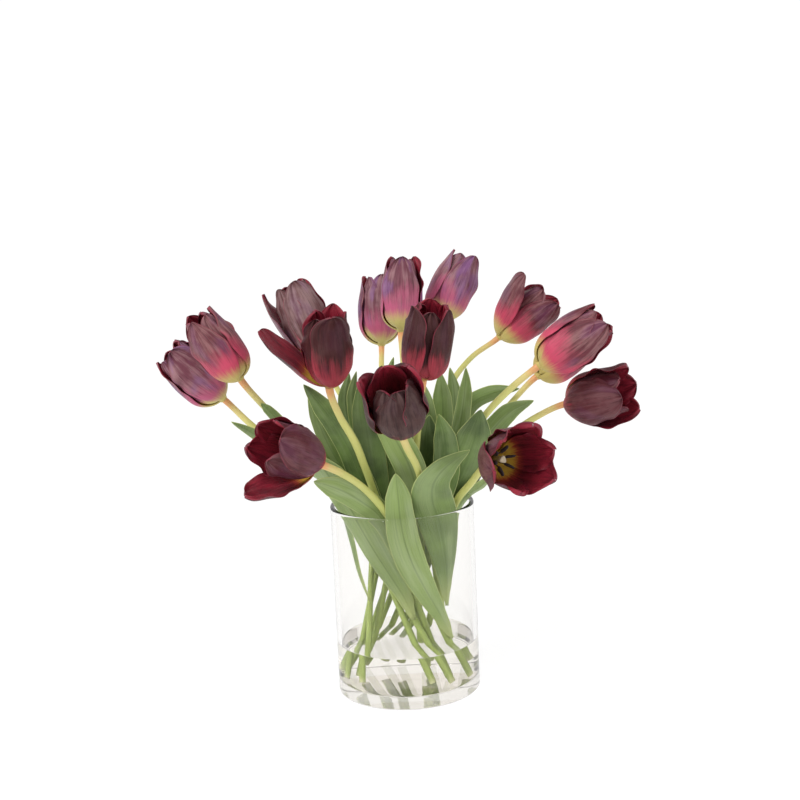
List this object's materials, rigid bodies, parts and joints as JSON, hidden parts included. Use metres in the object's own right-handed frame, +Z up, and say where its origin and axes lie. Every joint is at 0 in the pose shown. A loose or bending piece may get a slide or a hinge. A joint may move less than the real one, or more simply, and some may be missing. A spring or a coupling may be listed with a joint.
{
  "type": "vase of cut tulips",
  "caption": "Dark maroon tulips with long green leaves, standing as a loose spiral bunch in a clear glass cylinder vase with a little water.",
  "frame": {"origin": "centre of the vase's foot, on the surface it stands on", "axes": "+Z up along the vase's axis; the front of the arrangement faces -Y and +X is to the right seen from the front"},
  "size_m": [0.4907, 0.342, 0.4526],
  "materials": {
    "glass": "polished",
    "water": "polished",
    "stem": "satin",
    "petal": "satin",
    "leaf": "satin"
  },
  "bodies": {
    "root": {"vase": "glass", "water": "water", "stem_01": "stem", "stem_02": "stem", "stem_03": "stem", "stem_04": "stem", "stem_05": "stem", "stem_06": "stem", "stem_07": "stem", "stem_08": "stem", "stem_09": "stem", "stem_10": "stem", "stem_11": "stem", "stem_12": "stem", "stem_13": "stem", "stem_14": "stem", "stem_15": "stem", "bloom_01": "petal", "bloom_02": "petal", "bloom_03": "petal", "bloom_04": "petal", "bloom_05": "petal", "bloom_06": "petal", "bloom_07": "petal", "bloom_08": "petal", "bloom_09": "petal", "bloom_10": "petal", "bloom_11": "petal", "bloom_12": "petal", "bloom_13": "petal", "bloom_14": "petal", "bloom_15": "petal", "leaf_01": "leaf", "leaf_02": "leaf", "leaf_03": "leaf", "leaf_04": "leaf", "leaf_05": "leaf", "leaf_06": "leaf", "leaf_07": "leaf", "leaf_08": "leaf", "leaf_09": "leaf", "leaf_10": "leaf", "leaf_11": "leaf", "leaf_12": "leaf", "leaf_13": "leaf", "leaf_14": "leaf", "leaf_15": "leaf", "leaf_16": "leaf", "leaf_17": "leaf", "leaf_18": "leaf", "leaf_19": "leaf", "leaf_20": "leaf", "leaf_21": "leaf", "leaf_22": "leaf", "leaf_23": "leaf", "leaf_24": "leaf", "leaf_25": "leaf", "leaf_26": "leaf", "leaf_27": "leaf", "leaf_28": "leaf"}
  },
  "joints": []
}
